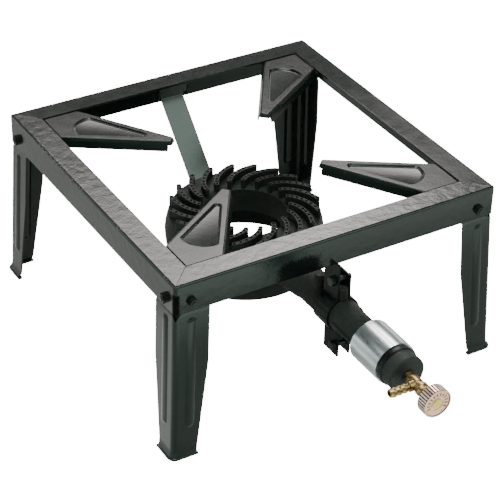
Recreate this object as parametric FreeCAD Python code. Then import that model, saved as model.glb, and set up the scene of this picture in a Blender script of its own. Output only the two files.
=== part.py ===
import FreeCAD, Part
import math
import os

V = FreeCAD.Vector

# Four-legged square gas stand with a spiral-ribbed ring burner.
# All sizes are in millimetres.  +Z is up, the mixing tube and the knob point to -Y.
# Everything is drawn with x = y = 0 at the middle of the square frame, then every
# piece is moved along Y so that the origin lies under the middle of the whole stand.

# ---------------------------------------------------------------- driving sizes

# square top frame, bent from angle
FRAME_SIZE = 400.0
FRAME_TOP = 217.0
RAIL_DEPTH = 35.0
RAIL_FLANGE = 28.0
RAIL_SHEET = 2.5
RAIL_BEND = 3.0
FRAME_CORNER = 4.0
FRAME_FRONT = -FRAME_SIZE / 2.0

# pressed legs
LEG_SHEET = 2.0
LEG_WIDTH = 41.0
LEG_FOOT_WIDTH = 30.0
LEG_TAPER_START = 114.0
LEG_SPLAY = 8.0
LEG_BEND = 6.0
LEG_TONGUE = 24.0
LEG_TONGUE_WIDTH = 40.0
LEG_STEP_TOP_GAP = 0.4
LEG_STEP_HEIGHT = 3.2
LEG_NOTCH_HALF = 5.0
LEG_NOTCH_DEPTH = 9.0
FOOT_LIP = 3.5
FOOT_LIP_THICK = 3.4
FOOT_LIP_ROUND = 1.4
FOOT_FLARE_START = 11.0
LEG_RIB_TOP = FRAME_TOP - 49.0
LEG_RIB_BOTTOM = 42.0
LEG_RIB_OFFSET = 20.0
LEG_RIB_RADIUS = 10.0
LEG_RIB_RISE = 2.0

# M6 fastenings
M6_RADIUS = 3.0
M6_HOLE = 3.3
M6_NUT_FLATS = 10.0
M6_NUT_HEIGHT = 5.0
M6_HEAD_HEIGHT = 4.0
M6_END = 0.8
LEG_BOLT_FROM_CORNER = 20.5
LEG_BOLT_BELOW_TOP = 24.0

# corner pot supports, pressed trays with sloping skirts and a sunken panel
SUPPORT_SHEET = 1.5
SUPPORT_BELOW_TOP = 1.0
SUPPORT_GAP = 1.0
SUPPORT_DEPTH = 12.0
SUPPORT_FLARE = 3.5
FLANGE_CORNER = (FRAME_SIZE / 2.0 - RAIL_FLANGE) * math.sqrt(2.0)
SUPPORT_REACH = 156.9
SUPPORT_TIP = FLANGE_CORNER - SUPPORT_REACH
SUPPORT_TIP_HALF = 5.0
SUPPORT_SLOPE = 0.21
SUPPORT_NOSE = 5.0
SUPPORT_NOSE_SET_BACK = 3.0
SUPPORT_ROUND = 2.0
PANEL_TIP = SUPPORT_TIP + 32.5
PANEL_TIP_HALF = 2.6
PANEL_BASE = SUPPORT_TIP + 105.3
PANEL_BASE_HALF = 19.0
PANEL_BULGE = 9.2
PANEL_CORNER = 8.0
PANEL_DEPTH = 2.4
PANEL_DRAFT = 2.2
PANEL_ROUND = 1.2

# axis of the neck and the mixing tube, hung below the frame
TUBE_BELOW_TOP = 97.0
TUBE_Z = FRAME_TOP - TUBE_BELOW_TOP

# burner casting
DECK_Z = TUBE_Z + 15.0
RIB_TOP = DECK_Z + 10.0
RIB_COUNT = 20
RIB_HALF = 2.8
RIB_INNER = 52.9
RIB_OUTER = 85.4
RIB_START_ANGLE = 115.2
RIB_SWEEP = -27.5
RIB_CURL = 1.25
RIB_PORTS = 8
PORT_RADIUS = 1.55
BORE_RADIUS = 49.5
BORE_CHAMFER_WIDE = 5.5
BORE_CHAMFER_DEEP = 2.5
BORE_WALL = 2.5
BELLY_RADIUS = 92.4
BELLY_Z = DECK_Z - 22.0
SHOULDER_RADIUS = 87.5
SHOULDER_BULGE = 0.9
SKIRT_TAPER = 9.4
SKIRT_RADIUS = BELLY_RADIUS - SKIRT_TAPER
SKIRT_Z = DECK_Z - 68.0
SKIRT_BULGE = 1.9
CASTING_WALL = 4.5
CHAMBER_FLOOR = DECK_Z - 32.0
FLOOR_THICK = 4.0

# mixing tube line, axis along Y
TUBE_RADIUS = 18.8
TUBE_BORE = 13.5
NECK_OVERHANG = 15.0
NECK_END = FRAME_FRONT - NECK_OVERHANG
NECK_STRAIGHT = -BELLY_RADIUS - 57.6
NECK_THROAT = -BELLY_RADIUS - 38.6
NECK_ROOT = -BELLY_RADIUS + 8.4
SPIGOT_RADIUS = 16.5
SPIGOT_LENGTH = 12.0
FIN_WIDTH = 2.0
FIN_THICK = 1.6
BOSS_RADIUS = 5.85
BOSS_TOP = TUBE_Z + 32.8
FRONT_BOSS_Y = NECK_END + 9.0
REAR_BOSS_X = -6.5
REAR_BOSS_Y = FRAME_FRONT + 29.0
WINDOW_START = NECK_END - 7.0
WINDOW_LENGTH = 36.0
WINDOW_HALF = 7.2
WINDOW_ANGLE = 40.0

# sliding air sleeve and the end cap it rides on
SLEEVE_RADIUS = 24.7
SLEEVE_WALL = 1.5
SLEEVE_BACK = NECK_END - 45.5
SLEEVE_FRONT = SLEEVE_BACK - 47.5
RUNNING_CLEARANCE = 0.05
COLLAR_BACK = NECK_END - 47.0
COLLAR_FRONT = COLLAR_BACK - 38.0
COLLAR_BORE = 19.0
CAP_SHOULDER = COLLAR_FRONT - 14.0
CAP_RIM_RADIUS = 21.5
CAP_RIM_END = CAP_SHOULDER - 15.0
CAP_NOSE_RADIUS = 10.0
CAP_NOSE_END = CAP_SHOULDER - 18.0
CAP_SPIGOT = 8.0

# gas valve
NIPPLE_END = CAP_NOSE_END + 10.0
NIPPLE_RADIUS = 5.0
VALVE_RADIUS = 7.2
VALVE_BULB = 7.8
VALVE_END = CAP_NOSE_END - 30.0
CHANNEL_RADIUS = 1.5
SEAT_Y = CAP_NOSE_END - 8.0
VALVE_CHAMBER = 4.0
VALVE_CHAMBER_END = SEAT_Y - 12.0
GLAND_RADIUS = 4.6
GLAND_DEPTH = 6.0
GLAND_NUT_FLATS = 11.5
GLAND_NUT_END = VALVE_END - 6.0
SPINDLE_RADIUS = 3.0
NEEDLE_LENGTH = 4.0
NEEDLE_GAP = 0.35
BARB_Y = VALVE_END + 15.5
BARB_BOSS_RADIUS = 6.0
BARB_BOSS_END = -10.0
BARB_TIP = -33.5
BARB_RIDGES = 3
BARB_PITCH = 6.6
BARB_RIDGE_RADIUS = 5.4
BARB_ROOT_RADIUS = 4.4
BARB_LAND = 2.4
BARB_BORE = 2.6

# control knob
KNOB_RADIUS = 16.8
KNOB_BACK = VALVE_END - 9.0
KNOB_FRONT = KNOB_BACK - 13.0
KNOB_FLUTES = 34
KNOB_FLUTE_RADIUS = 1.0
KNOB_HUB_RADIUS = 5.5
KNOB_HUB_LENGTH = 1.5
KNOB_DISH = 0.8
KNOB_RIM = 2.0
SPINDLE_TIP_RADIUS = 2.5
DISC_RADIUS = 5.6

# clamp round the neck, hung on the front rail
CLAMP_SHEET = 2.0
CLAMP_GAP = 6.25
CLAMP_BACK = FRAME_FRONT + 18.0
CLAMP_FRONT = FRAME_FRONT - 9.0
CLAMP_FIT = 0.2
CLAMP_TAB_BOTTOM = TUBE_Z - 51.0
CLAMP_TAB_FORWARD = 5.0
CLAMP_FREE_EAR_TOP = TUBE_Z + 48.5
HANGER_LIP = 2.5
HANGER_RISE = 16.0
HANGER_SLOT_CLEARANCE = 0.2
CLAMP_SLOT_HALF = 2.0
CLAMP_SLOT_LENGTH = 20.0
CLAMP_SLOT_ANGLE = 129.0
UPPER_BOLT_Y = FRAME_FRONT
UPPER_BOLT_Z = TUBE_Z + 41.5
LOWER_BOLT_Y = FRAME_FRONT - CLAMP_TAB_FORWARD - 3.0
LOWER_BOLT_Z = TUBE_Z - 38.5
CLAMP_BOLT_END = 13.0

# strap from the back rail to the burner skirt
STRAP_SHEET = 2.0
STRAP_X = 11.0
STRAP_WIDTH = 30.0
STRAP_PAD_X = 13.0
STRAP_PAD_WIDTH = 38.0
STRAP_PAD_TOP = FRAME_TOP - 17.5
STRAP_BEND_Z = STRAP_PAD_TOP - 13.5
STRAP_FOOT_Z = SKIRT_Z + 19.0
STRAP_END_Z = SKIRT_Z + 1.0
STRAP_BOLT_Z = SKIRT_Z + 9.0
STRAP_LUG_REACH = 14.6
STRAP_LUG_HALF = 13.0
STRAP_LUG_TOP = SKIRT_Z + 17.0

# ---------------------------------------------------------------- derived sizes

HALF = FRAME_SIZE / 2.0
RAIL_INSIDE = HALF - RAIL_SHEET
RAIL_BOTTOM = FRAME_TOP - RAIL_DEPTH
FLANGE_EDGE = HALF - RAIL_FLANGE
FLANGE_UNDERSIDE = FRAME_TOP - RAIL_SHEET
LEG_BOLT_ALONG = HALF - LEG_BOLT_FROM_CORNER
LEG_BOLT_Z = FRAME_TOP - LEG_BOLT_BELOW_TOP
FOOT_OUTSIDE = HALF + LEG_SPLAY + FOOT_LIP
SUPPORT_TOP = FRAME_TOP - SUPPORT_BELOW_TOP
SLEEVE_BORE = SLEEVE_RADIUS - SLEEVE_WALL
LAND_RADIUS = SLEEVE_BORE - RUNNING_CLEARANCE
SPINDLE_BORE = SPINDLE_RADIUS + RUNNING_CLEARANCE
CLAMP_INNER = TUBE_RADIUS + CLAMP_FIT
CLAMP_OUTER = CLAMP_INNER + CLAMP_SHEET
CLAMP_FACE = CLAMP_GAP + CLAMP_SHEET
STRAP_FOOT_Y = SKIRT_RADIUS + STRAP_LUG_REACH + STRAP_SHEET

# the origin lies midway between the front of the knob and the back of the rear feet
ORIGIN_SHIFT = -(KNOB_FRONT + FOOT_OUTSIDE) / 2.0

parts = {}


# ---------------------------------------------------------------- shape helpers

def box(x_low, x_high, y_low, y_high, z_low, z_high):
    return Part.makeBox(x_high - x_low, y_high - y_low, z_high - z_low, V(x_low, y_low, z_low))


def rod(radius, start, end):
    return Part.makeCylinder(radius, (end - start).Length, start, end - start)


def closed_wire(points):
    return Part.makePolygon(points + [points[0]])


def tube_line(profile):
    """Solid turned about the mixing tube's axis; profile is a list of (y, radius)."""
    points = [V(0, profile[0][0], TUBE_Z)]
    points += [V(0, y, TUBE_Z + radius) for y, radius in profile]
    points += [V(0, profile[-1][0], TUBE_Z)]
    face = Part.Face(closed_wire(points))
    return face.revolve(V(0, 0, TUBE_Z), V(0, 1, 0), 360)


def hexagon(flats, start, end):
    """Hexagonal prism between two points."""
    radius = flats / math.sqrt(3.0)
    along = (end - start).normalize()
    side = along.cross(V(0, 0, 1)).normalize()
    other = along.cross(side)
    corners = []
    for k in range(6):
        angle = math.radians(60 * k)
        corners.append(start + side * (radius * math.cos(angle)) + other * (radius * math.sin(angle)))
    return Part.Face(closed_wire(corners)).extrude(end - start)


def hex_head(flats, start, end):
    """Hexagonal head or nut with its corners turned off at the far end."""
    along = (end - start).normalize()
    height = (end - start).Length
    cone_radius = flats / 2.0
    reach = cone_radius + height * math.sqrt(3.0)
    turned = Part.makeCone(reach, cone_radius * 0.98, height, start, along)
    return hexagon(flats, start, end).common(turned)


def fillet_where(shape, radius, wanted):
    edges = [edge for edge in shape.Edges if wanted(edge)]
    return shape.makeFillet(radius, edges)


def edge_middle(edge):
    return edge.valueAt((edge.FirstParameter + edge.LastParameter) / 2.0)


def turn_z(shape, degrees):
    copy = shape.copy()
    copy.rotate(V(0, 0, 0), V(0, 0, 1), degrees)
    return copy


def add(name, shape):
    shape = shape.copy()
    shape.translate(V(0, ORIGIN_SHIFT, 0))
    parts[name] = shape


# the four corners, counted from the back right one, with the turn that takes it there
CORNERS = [("back_right", 0), ("back_left", 90), ("front_left", 180), ("front_right", 270)]

# ---------------------------------------------------------------- frame rails


def make_rail():
    """The back rail: angle section, mitred at both ends and drilled for the legs."""
    rail = box(-HALF, HALF, FLANGE_EDGE, HALF, RAIL_BOTTOM, FRAME_TOP)
    rail = rail.cut(box(-HALF, HALF, FLANGE_EDGE, RAIL_INSIDE, RAIL_BOTTOM, FLANGE_UNDERSIDE))
    rail = fillet_where(
        rail,
        RAIL_BEND,
        lambda edge: abs(edge_middle(edge).y - HALF) < 0.01
        and abs(edge_middle(edge).z - FRAME_TOP) < 0.01,
    )
    mitre = Part.Face(closed_wire([V(0, 0, 0), V(HALF, HALF, 0), V(-HALF, HALF, 0)]))
    rail = rail.common(mitre.extrude(V(0, 0, FRAME_TOP)))
    block = box(-HALF, HALF, -HALF, HALF, RAIL_BOTTOM, FRAME_TOP)
    block = fillet_where(
        block,
        FRAME_CORNER,
        lambda edge: abs(edge.Vertexes[0].Z - edge.Vertexes[-1].Z) > 1,
    )
    rail = rail.common(block)
    for x in (-LEG_BOLT_ALONG, LEG_BOLT_ALONG):
        rail = rail.cut(rod(M6_HOLE, V(x, RAIL_INSIDE - 1, LEG_BOLT_Z), V(x, HALF + 1, LEG_BOLT_Z)))
    return rail


back_rail = make_rail()
for name, degrees in [("rail_back", 0), ("rail_left", 90), ("rail_front", 180), ("rail_right", 270)]:
    add(name, turn_z(back_rail, degrees))

# ---------------------------------------------------------------- legs


def leg_face(z):
    """How far the leg's outside face stands from the middle of the frame."""
    return HALF + LEG_SPLAY * (RAIL_BOTTOM - z) / RAIL_BOTTOM


def leg_section(z, outside, width, sheet, bend):
    inside = outside - sheet
    start = outside - bend
    end = outside - width
    diagonal = math.sqrt(0.5)
    mid_out = start + bend * diagonal
    mid_in = start + (bend - sheet) * diagonal
    edges = [
        Part.makeLine(V(outside, end, z), V(outside, start, z)),
        Part.Arc(V(outside, start, z), V(mid_out, mid_out, z), V(start, outside, z)).toShape(),
        Part.makeLine(V(start, outside, z), V(end, outside, z)),
        Part.makeLine(V(end, outside, z), V(end, inside, z)),
        Part.makeLine(V(end, inside, z), V(start, inside, z)),
        Part.Arc(V(start, inside, z), V(mid_in, mid_in, z), V(inside, start, z)).toShape(),
        Part.makeLine(V(inside, start, z), V(inside, end, z)),
        Part.makeLine(V(inside, end, z), V(outside, end, z)),
    ]
    return Part.Wire(edges)


def leg_rib(radius):
    """Rounded bar that follows the face on the +X side of the leg."""
    axis_depth = LEG_RIB_RADIUS - LEG_RIB_RISE
    ends = []
    for z in (LEG_RIB_BOTTOM, LEG_RIB_TOP):
        ends.append(V(leg_face(z) - axis_depth, leg_face(z) - LEG_RIB_OFFSET, z))
    bar = rod(radius, ends[0], ends[1])
    for end in ends:
        bar = bar.fuse(Part.makeSphere(radius, end))
    return bar


def outside_of_leg():
    """Everything beyond the leg's +X face, from a little inside its skin."""
    wires = []
    for z in (RAIL_BOTTOM, 0.0):
        near = leg_face(z) - LEG_SHEET * 0.3
        far = leg_face(z) + 10
        low = leg_face(z) - LEG_WIDTH
        high = leg_face(z)
        wires.append(closed_wire([V(near, low, z), V(far, low, z), V(far, high, z), V(near, high, z)]))
    return Part.makeLoft(wires, True, True)


def make_leg():
    step_top = RAIL_BOTTOM - LEG_STEP_TOP_GAP
    step_bottom = step_top - LEG_STEP_HEIGHT
    sections = [
        leg_section(RAIL_BOTTOM + LEG_TONGUE, RAIL_INSIDE, LEG_TONGUE_WIDTH, LEG_SHEET, LEG_BEND),
        leg_section(step_top, RAIL_INSIDE, LEG_TONGUE_WIDTH, LEG_SHEET, LEG_BEND),
        leg_section(step_bottom, leg_face(step_bottom), LEG_WIDTH, LEG_SHEET, LEG_BEND),
        leg_section(LEG_TAPER_START, leg_face(LEG_TAPER_START), LEG_WIDTH, LEG_SHEET, LEG_BEND),
    ]
    foot_width = LEG_FOOT_WIDTH
    for drop, flare in ((0.0, 0.0), (0.4, 0.25), (0.7, 1.0)):
        z = FOOT_FLARE_START - (FOOT_FLARE_START - FOOT_LIP_THICK) * drop / 0.7
        outside = leg_face(z) + (FOOT_LIP - FOOT_LIP_ROUND) * flare
        sections.append(leg_section(z, outside, foot_width, LEG_SHEET, LEG_BEND))
    sections.append(leg_section(0.0, outside, foot_width, LEG_SHEET, LEG_BEND))
    leg = Part.makeLoft(sections, True, True)

    # out-turned foot
    lip = Part.Face(
        leg_section(
            0.0,
            FOOT_OUTSIDE,
            LEG_FOOT_WIDTH + FOOT_LIP,
            LEG_SHEET + FOOT_LIP,
            LEG_BEND + FOOT_LIP,
        )
    ).extrude(V(0, 0, FOOT_LIP_THICK))
    lip = fillet_where(
        lip,
        FOOT_LIP_ROUND,
        lambda edge: max(edge_middle(edge).x, edge_middle(edge).y) > leg_face(0.0) + 1
        and abs(edge.Vertexes[0].Z - edge.Vertexes[-1].Z) < 0.01
        and edge.Length > FOOT_LIP + LEG_SHEET + 0.1,
    )
    leg = leg.fuse(lip)

    # pressed stiffening rib on each face, hollow behind
    groove = leg_rib(LEG_RIB_RADIUS - LEG_SHEET)
    rib = leg_rib(LEG_RIB_RADIUS).common(outside_of_leg()).cut(groove)
    diagonal_plane = V(1, -1, 0)
    for mirrored in (False, True):
        if mirrored:
            groove = groove.mirror(V(0, 0, 0), diagonal_plane)
            rib = rib.mirror(V(0, 0, 0), diagonal_plane)
        leg = leg.cut(groove).fuse(rib)

    # relief notch at the fold, directly under the rail
    side = V(-math.sqrt(0.5), math.sqrt(0.5), 0)
    middle = V(RAIL_INSIDE - 2 * LEG_BEND, RAIL_INSIDE - 2 * LEG_BEND, 0)
    up = V(0, 0, 1)
    notch = Part.Face(
        closed_wire(
            [
                middle + up * (RAIL_BOTTOM - LEG_NOTCH_DEPTH),
                middle + side * LEG_NOTCH_HALF + up * RAIL_BOTTOM,
                middle + side * LEG_NOTCH_HALF + up * (RAIL_BOTTOM + LEG_TONGUE + 1),
                middle - side * LEG_NOTCH_HALF + up * (RAIL_BOTTOM + LEG_TONGUE + 1),
                middle - side * LEG_NOTCH_HALF + up * RAIL_BOTTOM,
            ]
        )
    ).extrude(V(1, 1, 0) * (4 * LEG_BEND))
    leg = leg.cut(notch)

    # bolt holes in the two tongues
    along = LEG_BOLT_ALONG
    leg = leg.cut(rod(M6_HOLE, V(HALF - 10, along, LEG_BOLT_Z), V(HALF + 1, along, LEG_BOLT_Z)))
    leg = leg.cut(rod(M6_HOLE, V(along, HALF - 10, LEG_BOLT_Z), V(along, HALF + 1, LEG_BOLT_Z)))
    return leg


leg = make_leg()
for corner, degrees in CORNERS:
    add("leg_" + corner, turn_z(leg, degrees))

# ---------------------------------------------------------------- leg bolts and nuts


def leg_bolt(y):
    inside = RAIL_INSIDE - LEG_SHEET
    nut_top = HALF + M6_NUT_HEIGHT
    head = hex_head(M6_NUT_FLATS, V(inside, y, LEG_BOLT_Z), V(inside - M6_HEAD_HEIGHT, y, LEG_BOLT_Z))
    shank = rod(M6_RADIUS, V(inside, y, LEG_BOLT_Z), V(nut_top + M6_END, y, LEG_BOLT_Z))
    return head.fuse(shank)


def leg_nut(y):
    nut = hex_head(M6_NUT_FLATS, V(HALF, y, LEG_BOLT_Z), V(HALF + M6_NUT_HEIGHT, y, LEG_BOLT_Z))
    return nut.cut(rod(M6_RADIUS, V(HALF - 1, y, LEG_BOLT_Z), V(HALF + 10, y, LEG_BOLT_Z)))


bolts = []
nuts = []
for corner, degrees in CORNERS:
    for y in (LEG_BOLT_ALONG, -LEG_BOLT_ALONG):
        bolts.append(turn_z(leg_bolt(y), degrees))
        nuts.append(turn_z(leg_nut(y), degrees))
add("leg_bolts", Part.makeCompound(bolts))
add("leg_nuts", Part.makeCompound(nuts))

# ---------------------------------------------------------------- pot supports


def across(u, v, z):
    """Point given along and across the diagonal of the +X +Y corner."""
    root = math.sqrt(0.5)
    return V((u - v) * root, (u + v) * root, z)


def support_outline(z, inset):
    grow = SUPPORT_FLARE * (SUPPORT_TOP - z) / SUPPORT_DEPTH - inset
    tip = SUPPORT_TIP - grow
    far = HALF * 1.45
    wide = grow * math.sqrt(1 + SUPPORT_SLOPE * SUPPORT_SLOPE)
    tip_half = SUPPORT_TIP_HALF + SUPPORT_SLOPE * (tip - SUPPORT_TIP) + wide
    far_half = SUPPORT_TIP_HALF + SUPPORT_SLOPE * (far - SUPPORT_TIP) + wide
    corners = [(tip, -tip_half), (far, -far_half), (far, far_half), (tip, tip_half)]
    return closed_wire([across(u, v, z) for u, v in corners])


def tip_corner(edge):
    upright = abs(edge.Vertexes[0].Z - edge.Vertexes[-1].Z) > 1
    middle = edge_middle(edge)
    return upright and (middle.x + middle.y) * math.sqrt(0.5) < SUPPORT_TIP + 5


def support_block(inset, top, bottom, tip_round, top_round):
    block = Part.makeLoft([support_outline(bottom, inset), support_outline(top, inset)], True, True)
    block = fillet_where(block, tip_round, tip_corner)
    far = HALF * 1.45
    return fillet_where(
        block,
        top_round,
        lambda edge: abs(edge.BoundBox.ZMin - top) < 0.01
        and (edge_middle(edge).x + edge_middle(edge).y) * math.sqrt(0.5) < far - 1,
    )


def panel_half(u):
    """Half width of the sunken panel at a distance u along the diagonal."""
    slope = (PANEL_BASE_HALF - PANEL_TIP_HALF) / (PANEL_BASE - PANEL_TIP)
    return PANEL_TIP_HALF + slope * (u - PANEL_TIP)


def panel_outline(grow, z):
    """Pear-shaped outline of the panel at one height, its nose running into its sides."""
    nose_round = PANEL_TIP_HALF + grow
    centre = PANEL_TIP + PANEL_TIP_HALF
    base = PANEL_BASE + grow * 0.5
    base_half = PANEL_BASE_HALF + grow
    reach = math.hypot(base - centre, base_half)
    touch = math.atan2(base_half, base - centre) + math.acos(nose_round / reach)
    nose_u = centre + nose_round * math.cos(touch)
    nose_v = nose_round * math.sin(touch)
    arc = Part.Arc(
        across(base, -base_half, z),
        across(base + PANEL_BULGE + grow * 0.5, 0, z),
        across(base, base_half, z),
    )
    nose = Part.Arc(
        across(nose_u, nose_v, z),
        across(centre - nose_round, 0, z),
        across(nose_u, -nose_v, z),
    )
    return Part.Wire(
        [
            Part.makeLine(across(nose_u, -nose_v, z), across(base, -base_half, z)),
            arc.toShape(),
            Part.makeLine(across(base, base_half, z), across(nose_u, nose_v, z)),
            nose.toShape(),
        ]
    )


def panel_block(grow, low, high):
    """The panel as a tapered block, wider at its top, with well rounded corners."""
    spread = PANEL_DRAFT * (high - low) / PANEL_DEPTH
    block = Part.makeLoft([panel_outline(grow, low), panel_outline(grow + spread, high)], True, True)
    block = fillet_where(
        block,
        PANEL_CORNER,
        lambda edge: abs(edge.Vertexes[0].Z - edge.Vertexes[-1].Z) > 1
        and (edge_middle(edge).x + edge_middle(edge).y) * math.sqrt(0.5) > PANEL_BASE - 5,
    )
    return fillet_where(block, PANEL_ROUND, lambda edge: abs(edge.BoundBox.ZMax - low) < 0.01)


def panel_rim(edge):
    middle = edge_middle(edge)
    u = (middle.x + middle.y) * math.sqrt(0.5)
    v = (middle.y - middle.x) * math.sqrt(0.5)
    level = edge.BoundBox.ZMin > SUPPORT_TOP - 0.01
    beside = abs(v) < panel_half(u) + PANEL_DRAFT + 1.5
    reach = PANEL_BASE + PANEL_BULGE + PANEL_DRAFT
    return level and beside and PANEL_TIP - PANEL_DRAFT - 1 < u < reach + 1


def make_support():
    bottom = SUPPORT_TOP - SUPPORT_DEPTH
    plate_under = SUPPORT_TOP - SUPPORT_SHEET
    outer = support_block(0.0, SUPPORT_TOP, bottom, 3.5, SUPPORT_ROUND)
    inner = support_block(SUPPORT_SHEET, plate_under, bottom - 1, 2.0, SUPPORT_ROUND * 0.4)
    tray = outer.cut(inner)

    # the plate stops short of the flanges, the skirts run on below them
    edge = FLANGE_EDGE - SUPPORT_GAP
    keep = box(0, edge, 0, edge, bottom, SUPPORT_TOP)
    keep = keep.fuse(box(0, RAIL_INSIDE, 0, RAIL_INSIDE, bottom, FLANGE_UNDERSIDE))
    tray = tray.common(keep)

    # short nose, with the skirts set back behind it
    nose_under = SUPPORT_TOP - SUPPORT_NOSE
    set_back = SUPPORT_TIP + SUPPORT_NOSE_SET_BACK
    slot = Part.Face(
        closed_wire(
            [
                across(0, -30, bottom - 1),
                across(set_back, -30, bottom - 1),
                across(set_back, 30, bottom - 1),
                across(0, 30, bottom - 1),
            ]
        )
    ).extrude(V(0, 0, nose_under - bottom + 1))
    tray = tray.cut(slot)

    # sunken panel, pressed down from the plate
    floor = SUPPORT_TOP - PANEL_DEPTH
    tray = tray.fuse(panel_block(SUPPORT_SHEET, floor - SUPPORT_SHEET, plate_under + 0.1))
    tray = tray.cut(panel_block(0.0, floor, SUPPORT_TOP + 1))
    return fillet_where(tray, PANEL_ROUND, panel_rim)


support = make_support()
for corner, degrees in CORNERS:
    add("pot_support_" + corner, turn_z(support, degrees))

# ---------------------------------------------------------------- strap


def bent_strip(points, sheet, x_middle, width, inner_radius):
    """Strip of sheet following points (y, z), its thickness on the left of the path."""
    offset = []
    for k in range(len(points)):
        normals = []
        if k > 0:
            normals.append(left_normal(points[k - 1], points[k]))
        if k < len(points) - 1:
            normals.append(left_normal(points[k], points[k + 1]))
        y = sum(n[0] for n in normals)
        z = sum(n[1] for n in normals)
        scale = sheet * len(normals) / (y * y + z * z)
        offset.append((points[k][0] + y * scale, points[k][1] + z * scale))
    x = x_middle - width / 2.0
    outline = [V(x, y, z) for y, z in points + offset[::-1]]
    strip = Part.Face(closed_wire(outline)).extrude(V(width, 0, 0))
    for k in range(1, len(points) - 1):
        before = left_normal(points[k - 1], points[k])
        after = left_normal(points[k], points[k + 1])
        turns_left = before[0] * after[1] - before[1] * after[0] > 0
        inner = offset[k] if turns_left else points[k]
        outer = points[k] if turns_left else offset[k]
        strip = round_bend(strip, inner, inner_radius)
        strip = round_bend(strip, outer, inner_radius + sheet)
    return strip


def left_normal(start, end):
    y = end[0] - start[0]
    z = end[1] - start[1]
    length = math.hypot(y, z)
    return (-z / length, y / length)


def round_bend(strip, corner, radius):
    return fillet_where(
        strip,
        radius,
        lambda edge: abs(edge_middle(edge).y - corner[0]) < 0.05
        and abs(edge_middle(edge).z - corner[1]) < 0.05,
    )


def make_strap():
    path = [
        (STRAP_FOOT_Y, STRAP_END_Z),
        (STRAP_FOOT_Y, STRAP_FOOT_Z),
        (RAIL_INSIDE, STRAP_BEND_Z),
        (RAIL_INSIDE, STRAP_PAD_TOP),
    ]
    strap = bent_strip(path, STRAP_SHEET, STRAP_X, STRAP_WIDTH, STRAP_SHEET)
    pad = box(
        STRAP_PAD_X - STRAP_PAD_WIDTH / 2.0,
        STRAP_PAD_X + STRAP_PAD_WIDTH / 2.0,
        RAIL_INSIDE - STRAP_SHEET,
        RAIL_INSIDE,
        STRAP_BEND_Z + 4,
        STRAP_PAD_TOP,
    )
    strap = strap.fuse(pad)
    hole = rod(
        M6_HOLE,
        V(STRAP_X, STRAP_FOOT_Y - STRAP_SHEET - 1, STRAP_BOLT_Z),
        V(STRAP_X, STRAP_FOOT_Y + STRAP_SHEET + 1, STRAP_BOLT_Z),
    )
    return strap.cut(hole)


add("burner_strap", make_strap())

LUG_FACE = STRAP_FOOT_Y - STRAP_SHEET
LUG_BOLT_END = SKIRT_RADIUS - CASTING_WALL
strap_bolt = hex_head(
    M6_NUT_FLATS,
    V(STRAP_X, STRAP_FOOT_Y, STRAP_BOLT_Z),
    V(STRAP_X, STRAP_FOOT_Y + M6_HEAD_HEIGHT, STRAP_BOLT_Z),
)
strap_bolt = strap_bolt.fuse(
    rod(M6_RADIUS, V(STRAP_X, STRAP_FOOT_Y, STRAP_BOLT_Z), V(STRAP_X, LUG_BOLT_END, STRAP_BOLT_Z))
)
add("strap_bolt", strap_bolt)

# ---------------------------------------------------------------- burner casting


def bell(inset, low, high):
    """Solid bell between two heights, its wall moved in by inset."""
    below = SKIRT_Z - 2
    belly = V(BELLY_RADIUS - inset, 0, BELLY_Z)
    foot = V(SKIRT_RADIUS - inset, 0, SKIRT_Z)
    shoulder = V(SHOULDER_RADIUS - inset, 0, DECK_Z)
    low_middle = (belly + foot) * 0.5 + V(SKIRT_BULGE, 0, 0)
    high_middle = (belly + shoulder) * 0.5 + V(SHOULDER_BULGE, 0, 0)
    wire = Part.Wire(
        [
            Part.makeLine(V(0, 0, below), V(foot.x, 0, below)),
            Part.makeLine(V(foot.x, 0, below), foot),
            Part.Arc(foot, low_middle, belly).toShape(),
            Part.Arc(belly, high_middle, shoulder).toShape(),
            Part.makeLine(shoulder, V(0, 0, DECK_Z)),
            Part.makeLine(V(0, 0, DECK_Z), V(0, 0, below)),
        ]
    )
    solid = Part.Face(wire).revolve(V(0, 0, 0), V(0, 0, 1), 360)
    return solid.common(Part.makeCylinder(BELLY_RADIUS + 1, high - low, V(0, 0, low)))


def rib_point(t):
    radius = RIB_INNER + (RIB_OUTER - RIB_INNER) * t
    angle = math.radians(RIB_START_ANGLE + RIB_SWEEP * t ** RIB_CURL)
    return V(radius * math.cos(angle), radius * math.sin(angle), 0)


def rib_side(t):
    step = 0.01
    along = (rib_point(min(t + step, 1.0)) - rib_point(max(t - step, 0.0))).normalize()
    return V(-along.y, along.x, 0)


def curve_through(points):
    curve = Part.BSplineCurve()
    curve.interpolate(points)
    return curve.toShape()


def make_rib():
    """One spiral rib with rounded ends, from the deck up."""
    low = V(0, 0, DECK_Z - CASTING_WALL + 0.5)
    steps = [k / 8.0 for k in range(9)]
    left = [rib_point(t) + rib_side(t) * RIB_HALF + low for t in steps]
    right = [rib_point(t) - rib_side(t) * RIB_HALF + low for t in steps]
    inner_tip = rib_point(0) - (rib_point(0.02) - rib_point(0)).normalize() * RIB_HALF + low
    outer_tip = rib_point(1) + (rib_point(1) - rib_point(0.98)).normalize() * RIB_HALF + low
    wire = Part.Wire(
        [
            curve_through(left),
            Part.Arc(left[-1], outer_tip, right[-1]).toShape(),
            curve_through(right[::-1]),
            Part.Arc(right[0], inner_tip, left[0]).toShape(),
        ]
    )
    return Part.Face(wire).extrude(V(0, 0, RIB_TOP - low.z))


def ellipse_wire(y, z, half_x, half_z):
    return Part.Wire([Part.Ellipse(V(half_x, y, z), V(0, y, z + half_z), V(0, y, z)).toShape()])


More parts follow.
